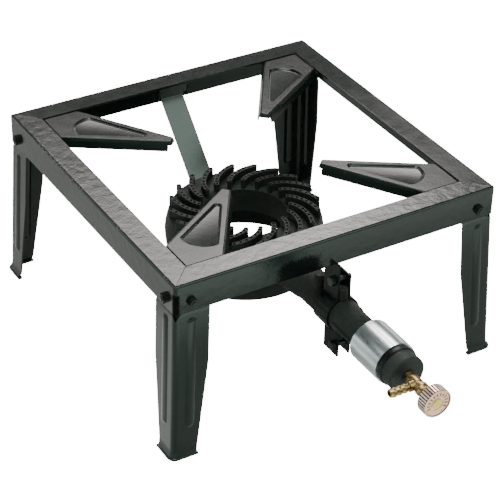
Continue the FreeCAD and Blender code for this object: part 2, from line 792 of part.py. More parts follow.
def neck_shape(radius, end, throat, root_x, root_z, root_y):
    """Round tube that flares sideways as it runs into the bell."""
    sections = [
        ellipse_wire(NECK_STRAIGHT, TUBE_Z, radius - 0.4, radius - 0.5),
        ellipse_wire(NECK_THROAT, TUBE_Z - 0.4, throat + 2.5, throat),
        ellipse_wire(root_y, TUBE_Z - 1.0, root_x, root_z),
    ]
    flare = Part.makeLoft(sections, True, False)
    return flare.fuse(rod(radius, V(0, NECK_THROAT - 4, TUBE_Z), V(0, end, TUBE_Z)))


def make_burner():
    # solid bell with its neck, bosses and rear lug
    casting = bell(0.0, SKIRT_Z, DECK_Z)
    casting = casting.fuse(neck_shape(TUBE_RADIUS, NECK_END, 20.0, 27.0, 15.0, NECK_ROOT))
    casting = casting.fuse(
        Part.makeCone(BOSS_RADIUS + 0.8, BOSS_RADIUS, BOSS_TOP - TUBE_Z, V(0, FRONT_BOSS_Y, TUBE_Z))
    )
    casting = casting.fuse(
        Part.makeCylinder(BOSS_RADIUS, BOSS_TOP - TUBE_Z, V(REAR_BOSS_X, REAR_BOSS_Y, TUBE_Z))
    )
    lug = box(
        STRAP_X - STRAP_LUG_HALF,
        STRAP_X + STRAP_LUG_HALF,
        SKIRT_RADIUS - CASTING_WALL,
        LUG_FACE,
        SKIRT_Z,
        STRAP_LUG_TOP,
    )
    casting = casting.fuse(lug)

    # open skirt, gas chamber and central bore
    skirt_space = bell(CASTING_WALL, SKIRT_Z - 1, CHAMBER_FLOOR)
    chamber = bell(CASTING_WALL, CHAMBER_FLOOR + FLOOR_THICK, DECK_Z - CASTING_WALL)
    chamber = chamber.cut(Part.makeCylinder(BORE_RADIUS + BORE_WALL, DECK_Z, V(0, 0, 0)))
    bore = Part.makeCylinder(BORE_RADIUS, RIB_TOP - SKIRT_Z, V(0, 0, SKIRT_Z))
    rim = Part.makeCone(
        BORE_RADIUS,
        BORE_RADIUS + BORE_CHAMFER_WIDE,
        BORE_CHAMFER_DEEP,
        V(0, 0, DECK_Z - BORE_CHAMFER_DEEP),
    )
    casting = casting.cut([skirt_space, chamber, bore, rim])

    # gas way through the neck, with a seat for the mixing tube
    way = neck_shape(TUBE_BORE, NECK_END - 1, 14.0, 18.0, 10.5, NECK_ROOT + 8)
    spigot_seat = V(0, NECK_END + SPIGOT_LENGTH, TUBE_Z)
    way = way.fuse(rod(SPIGOT_RADIUS, spigot_seat, V(0, NECK_END - 1, TUBE_Z)))
    casting = casting.cut(way)
    casting = casting.cut(
        rod(M6_RADIUS, V(STRAP_X, LUG_BOLT_END - 5, STRAP_BOLT_Z), V(STRAP_X, LUG_FACE + 1, STRAP_BOLT_Z))
    )

    # spiral ribs and the gas ports through them
    rib = make_rib()
    pitch = 360.0 / RIB_COUNT
    casting = casting.fuse([turn_z(rib, k * pitch) for k in range(RIB_COUNT)])
    port_low = DECK_Z - CASTING_WALL - 1
    ports = []
    for j in range(RIB_PORTS):
        place = rib_point(j / (RIB_PORTS - 1.0)) + V(0, 0, port_low)
        port = Part.makeCylinder(PORT_RADIUS, RIB_TOP - port_low + 1, place)
        ports += [turn_z(port, k * pitch) for k in range(RIB_COUNT)]
    return casting.cut(ports)


add("burner_head", make_burner())

# ---------------------------------------------------------------- mixing tube and air sleeve


def make_mixing_tube():
    cone_end = COLLAR_BACK - (LAND_RADIUS - TUBE_RADIUS)
    tube = tube_line(
        [
            (NECK_END + SPIGOT_LENGTH, SPIGOT_RADIUS - RUNNING_CLEARANCE),
            (NECK_END, SPIGOT_RADIUS - RUNNING_CLEARANCE),
            (NECK_END, TUBE_RADIUS),
            (COLLAR_BACK, TUBE_RADIUS),
            (cone_end, LAND_RADIUS),
            (COLLAR_FRONT, LAND_RADIUS),
        ]
    )
    for side in (-1, 1):
        edge = side * (TUBE_RADIUS + FIN_WIDTH)
        root = side * (TUBE_RADIUS - 2)
        fin = box(
            min(edge, root),
            max(edge, root),
            COLLAR_BACK,
            NECK_END,
            TUBE_Z - FIN_THICK / 2.0,
            TUBE_Z + FIN_THICK / 2.0,
        )
        tube = tube.fuse(fin)
    tube = tube.cut(
        tube_line(
            [
                (NECK_END + SPIGOT_LENGTH, TUBE_BORE),
                (COLLAR_BACK + 8, TUBE_BORE),
                (COLLAR_BACK - 8, COLLAR_BORE),
                (COLLAR_FRONT, COLLAR_BORE),
            ]
        )
    )
    for turn in (0, 180):
        window = box(
            0,
            2 * TUBE_RADIUS,
            WINDOW_START - WINDOW_LENGTH,
            WINDOW_START,
            -WINDOW_HALF,
            WINDOW_HALF,
        )
        window.rotate(V(0, 0, 0), V(0, -1, 0), WINDOW_ANGLE + turn)
        window.translate(V(0, 0, TUBE_Z))
        tube = tube.cut(window)
    return tube


add("mixing_tube", make_mixing_tube())
add(
    "air_sleeve",
    tube_line([(SLEEVE_BACK, SLEEVE_RADIUS), (SLEEVE_FRONT, SLEEVE_RADIUS)]).cut(
        tube_line([(SLEEVE_BACK, SLEEVE_BORE), (SLEEVE_FRONT, SLEEVE_BORE)])
    ),
)

# ---------------------------------------------------------------- end cap and injector

cap_bevel = LAND_RADIUS - CAP_RIM_RADIUS
end_cap = tube_line(
    [
        (COLLAR_FRONT + CAP_SPIGOT, COLLAR_BORE - RUNNING_CLEARANCE),
        (COLLAR_FRONT, COLLAR_BORE - RUNNING_CLEARANCE),
        (COLLAR_FRONT, LAND_RADIUS),
        (CAP_SHOULDER, LAND_RADIUS),
        (CAP_SHOULDER - cap_bevel, CAP_RIM_RADIUS),
        (CAP_RIM_END, CAP_RIM_RADIUS),
        (CAP_RIM_END - 1.5, CAP_RIM_RADIUS - 1.5),
        (CAP_NOSE_END + 1, CAP_NOSE_RADIUS + 1.5),
        (CAP_NOSE_END, CAP_NOSE_RADIUS),
    ]
)
end_cap = end_cap.cut(
    tube_line(
        [
            (COLLAR_FRONT + CAP_SPIGOT, COLLAR_BORE - 2.5),
            (CAP_SHOULDER, COLLAR_BORE - 2.5),
            (NIPPLE_END + 2, NIPPLE_RADIUS + 4),
            (NIPPLE_END, NIPPLE_RADIUS),
            (CAP_NOSE_END, NIPPLE_RADIUS),
        ]
    )
)
add("end_cap", end_cap)

JET_SEAT = NIPPLE_END - 4.0
injector = tube_line(
    [
        (NIPPLE_END + 16, 1.6),
        (NIPPLE_END + 6, 3.2),
        (NIPPLE_END, 3.2),
        (NIPPLE_END, 2.95),
        (JET_SEAT + 0.2, 2.95),
    ]
)
injector = injector.fuse(hexagon(8.0, V(0, NIPPLE_END, TUBE_Z), V(0, NIPPLE_END + 6, TUBE_Z)))
injector = injector.cut(
    tube_line(
        [
            (NIPPLE_END + 16, 0.5),
            (NIPPLE_END + 14, 0.5),
            (NIPPLE_END + 13, CHANNEL_RADIUS),
            (JET_SEAT + 0.2, CHANNEL_RADIUS),
        ]
    )
)
add("injector", injector)

# ---------------------------------------------------------------- gas valve

valve = tube_line(
    [
        (NIPPLE_END, NIPPLE_RADIUS - RUNNING_CLEARANCE),
        (CAP_NOSE_END, NIPPLE_RADIUS - RUNNING_CLEARANCE),
        (CAP_NOSE_END, VALVE_RADIUS - 0.8),
        (CAP_NOSE_END - 0.8, VALVE_RADIUS),
        (BARB_Y - 2.5, VALVE_RADIUS),
        (BARB_Y - 4, VALVE_RADIUS - 1),
        (BARB_Y - 5.5, VALVE_RADIUS - 1),
        (BARB_Y - 7.5, VALVE_BULB),
        (VALVE_END + 4, VALVE_BULB),
        (VALVE_END + 1, VALVE_BULB - 1.4),
        (VALVE_END, VALVE_BULB - 1.4),
    ]
)
valve = valve.fuse(rod(BARB_BOSS_RADIUS, V(0, BARB_Y, TUBE_Z), V(BARB_BOSS_END, BARB_Y, TUBE_Z)))
valve = valve.cut(
    tube_line(
        [
            (NIPPLE_END, 3.0),
            (JET_SEAT, 3.0),
            (JET_SEAT, CHANNEL_RADIUS),
            (SEAT_Y, CHANNEL_RADIUS),
            (SEAT_Y - NEEDLE_LENGTH, VALVE_CHAMBER),
            (VALVE_CHAMBER_END, VALVE_CHAMBER),
            (VALVE_CHAMBER_END, SPINDLE_BORE),
            (VALVE_END + GLAND_DEPTH, SPINDLE_BORE),
            (VALVE_END + GLAND_DEPTH, GLAND_RADIUS),
            (VALVE_END, GLAND_RADIUS),
        ]
    )
)
valve = valve.cut(rod(BARB_BORE, V(0, BARB_Y, TUBE_Z), V(BARB_BOSS_END - 1, BARB_Y, TUBE_Z)))
valve = valve.cut(rod(3.6, V(-VALVE_CHAMBER - 1, BARB_Y, TUBE_Z), V(BARB_BOSS_END - 1, BARB_Y, TUBE_Z)))
add("valve_body", valve)

gland_fit = GLAND_RADIUS - RUNNING_CLEARANCE
gland_floor = VALVE_END + GLAND_DEPTH
packing_end = VALVE_END + 1.5
packing = tube_line([(gland_floor, gland_fit), (packing_end, gland_fit)])
packing = packing.cut(tube_line([(gland_floor, SPINDLE_BORE), (packing_end, SPINDLE_BORE)]))
add("gland_packing", packing)

gland_nut = hex_head(GLAND_NUT_FLATS, V(0, VALVE_END, TUBE_Z), V(0, GLAND_NUT_END, TUBE_Z))
gland_nut = gland_nut.fuse(tube_line([(packing_end, gland_fit), (VALVE_END, gland_fit)]))
gland_nut = gland_nut.cut(tube_line([(packing_end + 1, SPINDLE_BORE), (GLAND_NUT_END - 1, SPINDLE_BORE)]))
add("gland_nut", gland_nut)


def make_hose_barb():
    """Barbed tail along -X; each ridge is a cone ending in a short round land."""
    ridges_end = BARB_TIP + BARB_RIDGES * BARB_PITCH
    profile = []
    for k in range(BARB_RIDGES):
        start = BARB_TIP + k * BARB_PITCH
        profile.append((start, BARB_ROOT_RADIUS))
        profile.append((start + BARB_PITCH - BARB_LAND - 0.3, BARB_RIDGE_RADIUS))
        profile.append((start + BARB_PITCH - 0.3, BARB_RIDGE_RADIUS))
    profile.append((ridges_end, BARB_ROOT_RADIUS))
    profile.append((BARB_BOSS_END, BARB_ROOT_RADIUS))
    profile.append((BARB_BOSS_END, 3.55))
    profile.append((-VALVE_CHAMBER - 1, 3.55))
    points = [V(profile[0][0], BARB_Y, TUBE_Z)]
    points += [V(x, BARB_Y, TUBE_Z + radius) for x, radius in profile]
    points += [V(profile[-1][0], BARB_Y, TUBE_Z)]
    barb = Part.Face(closed_wire(points)).revolve(V(0, BARB_Y, TUBE_Z), V(1, 0, 0), 360)
    return barb.cut(rod(BARB_BORE, V(BARB_TIP - 1, BARB_Y, TUBE_Z), V(0, BARB_Y, TUBE_Z)))


add("hose_barb", make_hose_barb())

# ---------------------------------------------------------------- spindle and knob

needle_tip = SEAT_Y - NEEDLE_GAP
disc_back = KNOB_FRONT + KNOB_DISH + 0.4
spindle = tube_line(
    [
        (needle_tip, CHANNEL_RADIUS - NEEDLE_GAP),
        (needle_tip - NEEDLE_LENGTH, SPINDLE_RADIUS),
        (KNOB_BACK - 2, SPINDLE_RADIUS),
        (KNOB_BACK - 2, SPINDLE_TIP_RADIUS),
        (disc_back + 0.5, SPINDLE_TIP_RADIUS),
    ]
)
add("valve_spindle", spindle)


def make_knob():
    edge = 0.7
    rim = KNOB_RADIUS - KNOB_RIM
    knob = tube_line(
        [
            (KNOB_BACK + KNOB_HUB_LENGTH, KNOB_HUB_RADIUS),
            (KNOB_BACK, KNOB_HUB_RADIUS),
            (KNOB_BACK, KNOB_RADIUS - edge),
            (KNOB_BACK - edge, KNOB_RADIUS),
            (KNOB_FRONT + edge, KNOB_RADIUS),
            (KNOB_FRONT, KNOB_RADIUS - edge),
        ]
    )
    knob = knob.cut(
        tube_line([(KNOB_FRONT + KNOB_DISH, rim - 0.5), (KNOB_FRONT - 1, rim + 0.7)])
    )
    flute_reach = KNOB_RADIUS + KNOB_FLUTE_RADIUS * 0.3
    flutes = []
    for k in range(KNOB_FLUTES):
        angle = 2 * math.pi * k / KNOB_FLUTES
        x = flute_reach * math.cos(angle)
        z = TUBE_Z + flute_reach * math.sin(angle)
        flutes.append(rod(KNOB_FLUTE_RADIUS, V(x, KNOB_BACK + 1, z), V(x, KNOB_FRONT - 1, z)))
    knob = knob.cut(flutes)
    bore = tube_line(
        [
            (KNOB_BACK + KNOB_HUB_LENGTH + 1, SPINDLE_BORE),
            (KNOB_BACK - 2 - RUNNING_CLEARANCE, SPINDLE_BORE),
            (KNOB_BACK - 2 - RUNNING_CLEARANCE, SPINDLE_TIP_RADIUS + RUNNING_CLEARANCE),
            (KNOB_FRONT, SPINDLE_TIP_RADIUS + RUNNING_CLEARANCE),
        ]
    )
    seat = tube_line([(disc_back, DISC_RADIUS), (KNOB_FRONT, DISC_RADIUS)])
    return knob.cut(bore).cut(seat)


add("control_knob", make_knob())
disc_front = KNOB_FRONT + KNOB_DISH - 0.5
disc = tube_line(
    [(disc_back, DISC_RADIUS), (disc_front + 0.4, DISC_RADIUS), (disc_front, DISC_RADIUS - 0.4)]
)
add("knob_disc", disc)

# ---------------------------------------------------------------- clamp


def half_clamp(top):
    """Clamp half on the -X side: ear, half band and lower tab from one sheet."""
    axis = V(0, 0, TUBE_Z)
    length_start = axis + V(0, CLAMP_BACK, 0)
    length_end = axis + V(0, CLAMP_FRONT, 0)
    band = rod(CLAMP_OUTER, length_start, length_end).cut(rod(CLAMP_INNER, length_start, length_end))
    band = band.common(
        box(-CLAMP_OUTER - 1, -CLAMP_GAP, CLAMP_FRONT, CLAMP_BACK, 0, TUBE_Z + CLAMP_OUTER + 1)
    )
    band_end = math.sqrt(CLAMP_INNER ** 2 - CLAMP_GAP ** 2)
    ear = box(-CLAMP_FACE, -CLAMP_GAP, CLAMP_FRONT, CLAMP_BACK, TUBE_Z + band_end, top)
    tab = box(
        -CLAMP_FACE,
        -CLAMP_GAP,
        CLAMP_FRONT - CLAMP_TAB_FORWARD,
        CLAMP_BACK - CLAMP_TAB_FORWARD,
        CLAMP_TAB_BOTTOM,
        TUBE_Z - band_end,
    )
    clamp = band.fuse([ear, tab])
    slot = box(
        CLAMP_INNER - 2,
        CLAMP_OUTER + 3,
        (CLAMP_BACK + CLAMP_FRONT - CLAMP_SLOT_LENGTH) / 2.0,
        (CLAMP_BACK + CLAMP_FRONT + CLAMP_SLOT_LENGTH) / 2.0,
        -CLAMP_SLOT_HALF,
        CLAMP_SLOT_HALF,
    )
    slot.rotate(V(0, 0, 0), V(0, -1, 0), CLAMP_SLOT_ANGLE)
    slot.translate(axis)
    return clamp.cut(slot)


def clamp_holes(clamp, radius):
    for y, z in ((UPPER_BOLT_Y, UPPER_BOLT_Z), (LOWER_BOLT_Y, LOWER_BOLT_Z)):
        clamp = clamp.cut(rod(radius, V(-CLAMP_FACE - 1, y, z), V(CLAMP_FACE + 1, y, z)))
    return clamp


hanger_top = RAIL_BOTTOM + HANGER_RISE
clamp_left = half_clamp(hanger_top)
clamp_left = clamp_left.cut(
    box(
        -CLAMP_FACE,
        -CLAMP_GAP,
        -HALF - HANGER_SLOT_CLEARANCE,
        -RAIL_INSIDE + HANGER_SLOT_CLEARANCE,
        RAIL_BOTTOM,
        hanger_top,
    )
)
clamp_left = clamp_left.cut(
    box(-CLAMP_FACE, -CLAMP_GAP, CLAMP_FRONT, -HALF, RAIL_BOTTOM + HANGER_LIP, hanger_top)
)
add("clamp_left", clamp_holes(clamp_left, M6_HOLE))

clamp_right = half_clamp(CLAMP_FREE_EAR_TOP).mirror(V(0, 0, 0), V(1, 0, 0))
add("clamp_right", clamp_holes(clamp_right, M6_RADIUS))

clamp_bolts = []
for y, z in ((UPPER_BOLT_Y, UPPER_BOLT_Z), (LOWER_BOLT_Y, LOWER_BOLT_Z)):
    head = hex_head(M6_NUT_FLATS, V(-CLAMP_FACE, y, z), V(-CLAMP_FACE - M6_HEAD_HEIGHT - 1, y, z))
    clamp_bolts.append(head.fuse(rod(M6_RADIUS, V(-CLAMP_FACE, y, z), V(CLAMP_BOLT_END, y, z))))
add("clamp_bolts", Part.makeCompound(clamp_bolts))

# ---------------------------------------------------------------- files

os.makedirs("parts", exist_ok=True)
for name, shape in parts.items():
    shape.exportStep("parts/" + name + ".step")
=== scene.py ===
import math
import bmesh
import bpy
from mathutils import Matrix, Vector


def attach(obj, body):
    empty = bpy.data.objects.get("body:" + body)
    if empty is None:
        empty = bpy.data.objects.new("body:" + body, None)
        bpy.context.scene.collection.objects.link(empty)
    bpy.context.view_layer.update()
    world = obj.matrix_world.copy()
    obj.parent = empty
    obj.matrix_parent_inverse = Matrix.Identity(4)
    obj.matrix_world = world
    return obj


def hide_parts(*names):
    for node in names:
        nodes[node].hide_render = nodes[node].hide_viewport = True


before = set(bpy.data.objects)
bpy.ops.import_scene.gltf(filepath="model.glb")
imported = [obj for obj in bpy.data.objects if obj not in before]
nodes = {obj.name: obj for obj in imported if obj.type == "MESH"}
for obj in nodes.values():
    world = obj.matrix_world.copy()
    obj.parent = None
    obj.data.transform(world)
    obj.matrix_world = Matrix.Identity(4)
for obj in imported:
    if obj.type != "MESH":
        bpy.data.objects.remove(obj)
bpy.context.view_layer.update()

# ---------------------------------------------------------------- top frame
# Four lengths of angle section, mitred and welded into a square, then sprayed
# with black-green gloss enamel that has dried with an orange-peel skin.

# all lengths are in metres; noise scales are in waves to the metre
FRAME_MIDDLE = Vector((0.0, 0.08625, 0.0))
FRAME_HALF = 0.200
FLANGE_EDGE = 0.172
CORNERS = ("front_left", "front_right", "back_left", "back_right")

ENAMEL_DARK = (0.0022, 0.0052, 0.0038)
ENAMEL_LIGHT = (0.0065, 0.0110, 0.0088)
DULL_BLACK = (0.0012, 0.0024, 0.0018)
PRIMER_GREY = (0.105, 0.110, 0.104)
GREEN_SHEEN = (0.80, 1.0, 0.90)
DRIFT_SCALE, CLOUD_SCALE, DUST_SCALE, CHIP_SCALE = 9.0, 70.0, 1300.0, 420.0
CHIP_DEPTH = 0.00012

CHIPPED_ARRIS = (0.0050, 0.0020)
CHIPPED_TOP = (0.2128, 0.2160)
CHIPPED_LEFT = (0.1900, 0.1980)
CHIP_GROUPS = 26.0

FRONT_FACE = (-0.1985, -0.1987)
PATCH_ACROSS = (-0.066, -0.040)
PATCH_UP = (0.182, 0.197)
RUN_DIAGONAL = (-0.3930, -0.3960)
RUN_UP = (0.180, 0.205)

RAIL_EDGE = 0.0004
WIDE_FACE = 0.0003
LONG_ARRIS = 0.010
FLAT_TURN, SMOOTH_TURN, ARRIS_TURN = (math.radians(turn) for turn in (0.5, 35, 40))


class Value:
    """A shader socket that takes part in plain arithmetic."""

    def __init__(self, shading, socket):
        self.shading = shading
        self.socket = socket

    def out(self, name):
        return Value(self.shading, self.socket.node.outputs[name])

    def _math(self, operation, *terms):
        return self.shading.node(
            "ShaderNodeMath", {"operation": operation}, dict(enumerate(terms)))

    def __add__(self, other):
        return self._math("ADD", self, other)

    def __radd__(self, other):
        return self._math("ADD", other, self)

    def __sub__(self, other):
        return self._math("SUBTRACT", self, other)

    def __rsub__(self, other):
        return self._math("SUBTRACT", other, self)

    def __mul__(self, other):
        return self._math("MULTIPLY", self, other)

    def __rmul__(self, other):
        return self._math("MULTIPLY", other, self)

    def __pow__(self, other):
        return self._math("POWER", self, other)

    def __abs__(self):
        return self._math("ABSOLUTE", self)

    def most(self, other):
        return self._math("MAXIMUM", self, other)

    def wave(self):
        return self._math("SINE", self)

    def turn_from(self, other):
        """Angle in radians of the direction (other, self)."""
        return self._math("ARCTAN2", self, other)

    def step(self, low, high):
        """0 below low, 1 above high, with a smooth rise between them."""
        return self.shading.node(
            "ShaderNodeMapRange", {"interpolation_type": "SMOOTHSTEP"},
            {"Value": self, "From Min": low, "From Max": high})

    def band(self, low, high, soft):
        """1 between low and high, fading over soft at either side."""
        return self.step(low - soft, low) * (1 - self.step(high, high + soft))


class Shading:
    """One node tree: nodes are added by kind, settings and sockets."""

    def __init__(self, owner):
        owner.use_nodes = True
        self.owner = owner
        self.tree = owner.node_tree
        self.tree.nodes.clear()

    def node(self, kind, settings=None, sockets=None):
        made = self.tree.nodes.new(kind)
        for name, setting in (settings or {}).items():
            setattr(made, name, setting)
        for name, value in (sockets or {}).items():
            socket = made.inputs[name]
            if isinstance(value, Value):
                self.tree.links.new(value.socket, socket)
            elif socket.type == "RGBA":
                socket.default_value = (*value, 1.0)
            else:
                socket.default_value = value
        outputs = [output for output in made.outputs if output.enabled]
        return Value(self, outputs[0]) if outputs else made

    def place(self, scale=(1, 1, 1)):
        """Object coordinates, squeezed along each axis by scale."""
        here = self.node("ShaderNodeTexCoord").out("Object")
        return self.node("ShaderNodeMapping", {"vector_type": "TEXTURE"},
                         {"Vector": here, "Scale": tuple(1 / s for s in scale)})

    def split(self, vector):
        parts = self.node("ShaderNodeSeparateXYZ", sockets={"Vector": vector})
        return parts, parts.out("Y"), parts.out("Z")

    def facing(self):
        """The three parts of the surface's own normal."""
        return self.split(self.node("ShaderNodeNewGeometry").out("Normal"))

    def noise(self, at, scale, detail=2.0, roughness=0.5):
        return self.node("ShaderNodeTexNoise", sockets={
            "Vector": at, "Scale": scale, "Detail": detail, "Roughness": roughness})

    def blend(self, amount, first, second):
        return self.node("ShaderNodeMix", {"data_type": "RGBA"},
                         {0: amount, 6: first, 7: second})

    def bump(self, height, distance):
        return self.node("ShaderNodeBump", sockets={"Height": height, "Distance": distance})

    def principled(self, **sockets):
        """The main shader; socket names are written with _ for a space."""
        return self.node("ShaderNodeBsdfPrincipled", sockets={
            name.replace("_", " "): value for name, value in sockets.items()})

    def ends(self, shader):
        self.node("ShaderNodeOutputMaterial", sockets={"Surface": shader})
        return self.owner

    def surface(self, **sockets):
        return self.ends(self.principled(**sockets))


def finish(name):
    return Shading(bpy.data.materials.new(name))


def paint_over(node, material):
    """Puts a finish on a carried-over node."""
    mesh = nodes[node].data
    mesh.materials.clear()
    mesh.materials.append(material)


def enamel(name, peel, peel_size, gloss=0.11, shine=0.34, worn=None, dull=None, dent=None):
    """Black-green gloss enamel.

    peel and peel_size are the depth and width of its skin's lumps; worn, dull and dent
    pick where it has chipped, where it turns matt black (where it lost its shine, and on the
    supports a band of painted shade) and how deep the sheet is dished."""
    coat = finish(name)
    here = coat.place()
    drift = coat.noise(here, DRIFT_SCALE, 3.0)
    cloud = coat.noise(here, CLOUD_SCALE, 4.0, 0.6)
    dust = coat.noise(here, DUST_SCALE, 2.0, 0.6).step(0.69, 0.76)
    colour = coat.blend(drift * 0.5 + cloud * 0.5, ENAMEL_DARK, ENAMEL_LIGHT)
    colour = coat.blend(dust * 0.10, colour, PRIMER_GREY)
    rough = gloss + drift * 0.05 + cloud * 0.06 + dust * 0.10
    lumps = coat.noise(here, 1.0 / peel_size, 1.0, 0.4)
    swell = coat.noise(here, 0.22 / peel_size, 1.0, 0.4)
    height = lumps * peel + swell * (peel * 2.2)
    if worn is not None:
        chips = worn(coat, here) * coat.noise(here, CHIP_SCALE, 3.0, 0.65).step(0.55, 0.60)
        colour = coat.blend(chips, colour, PRIMER_GREY)
        rough = rough + chips * 0.25
        height = height - chips * CHIP_DEPTH
    if dent is not None:
        height = height + dent(coat, here)
    normal = coat.bump(height, 1.0)
    glossy = coat.principled(Base_Color=colour, Roughness=rough, Specular_IOR_Level=shine,
                             Specular_Tint=GREEN_SHEEN, Normal=normal)
    if dull is None:
        return coat.ends(glossy)
    flat = coat.principled(Base_Color=DULL_BLACK, Roughness=0.5, Specular_IOR_Level=0.03,
                           Normal=normal)
    return coat.ends(coat.node("ShaderNodeMixShader", sockets={
        0: dull(coat, here), 1: glossy, 2: flat}))


def frame_wear(coat, here):
    """Chipping in patches along the outer top arris, nearly all of it on the left rail."""
    across, along, up = coat.split(here)
    along = along - FRAME_MIDDLE.y
    out = abs(across).most(abs(along))
    arris = out.step(*(FRAME_HALF - inset for inset in CHIPPED_ARRIS))
    arris = arris * up.step(*CHIPPED_TOP)
    left = (0 - across).step(*CHIPPED_LEFT) * 0.95 + 0.05
    return arris * left * coat.noise(here, CHIP_GROUPS, 2.0).step(0.44, 0.60)


def frame_dull(coat, here):
    """A speckled matt patch on the front rail's face and a black run down the front left
    corner."""
    across, along, up = coat.split(here)
    along = along - FRAME_MIDDLE.y
    ragged = (coat.noise(here, 340.0, 3.0, 0.7) - 0.5) * 0.016
    front = along.step(*FRONT_FACE)
    patch = (across + ragged).band(*PATCH_ACROSS, 0.024) * (up + ragged).band(*PATCH_UP, 0.012)
    speckle = coat.noise(here, 800.0, 2.0, 0.7) * 0.9 + patch * 0.75
    patch = speckle.step(0.62, 1.02) * 0.92
    corner = (across + along + ragged * 0.25).step(*RUN_DIAGONAL)
    return front * patch + corner * (up + ragged * 0.4).band(*RUN_UP, 0.002)


frame_enamel = enamel("frame_enamel", 0.00007, 0.0023, worn=frame_wear, dull=frame_dull)
thin_enamel = enamel("frame_enamel_thin", 0.00002, 0.0034, gloss=0.07, worn=frame_wear)


def merged_copy(node):
    """A carried-over node with its loose triangles joined up into whole flat faces."""
    bm = bmesh.new()
    bm.from_mesh(nodes[node].data)
    bmesh.ops.remove_doubles(bm, verts=bm.verts, dist=1e-6)
    bmesh.ops.dissolve_limit(bm, angle_limit=FLAT_TURN, verts=bm.verts, edges=bm.edges)
    return bm


def new_piece(name, bm, material, body, replaced=()):
    """Turns a bmesh into a piece that rides on a body, in place of any named nodes."""
    mesh = bpy.data.meshes.new(name)
    bm.to_mesh(mesh)
    bm.free()
    if "custom_normal" in mesh.attributes:
        mesh.attributes.remove(mesh.attributes["custom_normal"])
    mesh.materials.append(material)
    piece = bpy.data.objects.new(name, mesh)
    bpy.context.scene.collection.objects.link(piece)
    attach(piece, body)
    for node in replaced:
        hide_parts(node)
    return piece


def sheet_copy(node, material, edge=0.0):
    """Redraws a sheet part: wide faces dead flat, bends smooth, long arrises broken."""
    bm = merged_copy(node)
    if edge:
        sharp = [arris for arris in bm.edges
                 if len(arris.link_faces) == 2 and arris.calc_length() > LONG_ARRIS
                 and arris.calc_face_angle() > ARRIS_TURN]
        bmesh.ops.bevel(bm, geom=sharp, offset=edge, offset_type="OFFSET", affect="EDGES",
                        segments=2, profile=0.5, material=-1)
    piece = new_piece(f"{node}_sheet", bm, material, "stand", [node])
    piece.data.set_sharp_from_angle(angle=SMOOTH_TURN)
    for face in piece.data.polygons:
        face.use_smooth = face.area < WIDE_FACE


for side in ("front", "back", "left", "right"):
    thick = side in ("front", "left")
    sheet_copy(f"rail_{side}", frame_enamel if thick else thin_enamel, RAIL_EDGE)

# ---------------------------------------------------------------- legs
# Pressed sheet legs, folded to an L with two ribs and a curled foot, dipped in
# the same enamel and bolted inside the corners of the frame.

# from the frame's middle to the notch at the top of each fold, and the half sizes of the dark
# blob of painted shade that fills it
NOTCH = (0.1957, 0.1957, 0.1768)
NOTCH_SHADE_SIZE = (0.0011, 0.0054, 0.0078, 1.0)


def corner_turns():
    """A placing for each corner: the frame's middle, turned by quarters."""
    return [Matrix.Translation(FRAME_MIDDLE) @ Matrix.Rotation(math.radians(90 * turn), 4, "Z")
            for turn in range(4)]


def smoothed(bm):
    for face in bm.faces:
        face.smooth = True
    return bm


leg_enamel = enamel("leg_enamel", 0.00005, 0.0045, gloss=0.15, shine=0.36)
for corner in CORNERS:
    sheet_copy(f"leg_{corner}", leg_enamel)

# painted shade: a dull dark blob fills the relief notch at the top of each fold, standing in
# for the shade inside it
notch_shade_black = enamel("notch_shade_black", 0.00004, 0.0030, gloss=0.10, shine=0.12)
bm = bmesh.new()
for corner in corner_turns():
    bmesh.ops.create_uvsphere(bm, u_segments=20, v_segments=12, radius=1.0, matrix=(
        corner @ Matrix.Translation(NOTCH) @ Matrix.Rotation(math.radians(45), 4, "Z")
        @ Matrix.Diagonal(NOTCH_SHADE_SIZE)))
new_piece("corner_notch_shade", smoothed(bm), notch_shade_black, "stand")

# ---------------------------------------------------------------- corner pot supports
# Pressed trays with sloping skirts and a sunken, pear-shaped panel, welded under
# the frame's flanges and enamelled with it; a matt black band of painted shade runs
# along their edges under the flanges.

PANEL_REACH = (0.1188, 0.1990)
PANEL_FLOOR = (0.2126, 0.2142)
BOWL_MIDDLE, BOWL_ALONG, BOWL_ACROSS = 0.165, 0.42, 1.6
LEAN_MIDDLE, PANEL_LEAN = 0.160, 0.104
GAP_SHADE_EDGE = (0.0024, 0.0020)
PLATE_TOP = (0.2150, 0.2156)


def fold(coat, here):
    """Distances along and across the nearest corner's diagonal."""
    across, along, up = coat.split(here)
    across, along = abs(across), abs(along - FRAME_MIDDLE.y)
    root = math.sqrt(0.5)
    return (across + along) * root, (along - across) * root, up


def panel_dish(coat, here):
    """The panel's floor is dished a little and leans towards the front left corner."""
    out, aside, up = fold(coat, here)
    across, along = coat.split(here)[:2]
    down = out - BOWL_MIDDLE
    inside = out.band(*PANEL_REACH, 0.004) * up.band(*PANEL_FLOOR, 0.0003)
    bowl = down * down * BOWL_ALONG + aside * aside * BOWL_ACROSS
    lean = (out - LEAN_MIDDLE) * (FRAME_MIDDLE.y - across - along) * PANEL_LEAN
    return inside * (bowl + lean)


def painted_gap_shade(coat, here):
    """Painted shade: a matt black band along the plate's edge where it lies under the rails'
    flanges, standing in for the gap's shadow.
    """
    across, along, up = coat.split(here)
    out = abs(across).most(abs(along - FRAME_MIDDLE.y))
    return out.step(*(FLANGE_EDGE - inset for inset in GAP_SHADE_EDGE)) * up.step(*PLATE_TOP)


# painted shade: the supports' enamel turns matt black in a band along the gap at their edges
support_enamel = enamel("support_enamel", 0.00003, 0.0036, gloss=0.12, shine=0.24,
                        dent=panel_dish, dull=painted_gap_shade)
for corner in CORNERS:
    sheet_copy(f"pot_support_{corner}", support_enamel)

# ---------------------------------------------------------------- burner strap
# A flat steel strap that hangs the burner's skirt from the back rail, painted
# satin black.

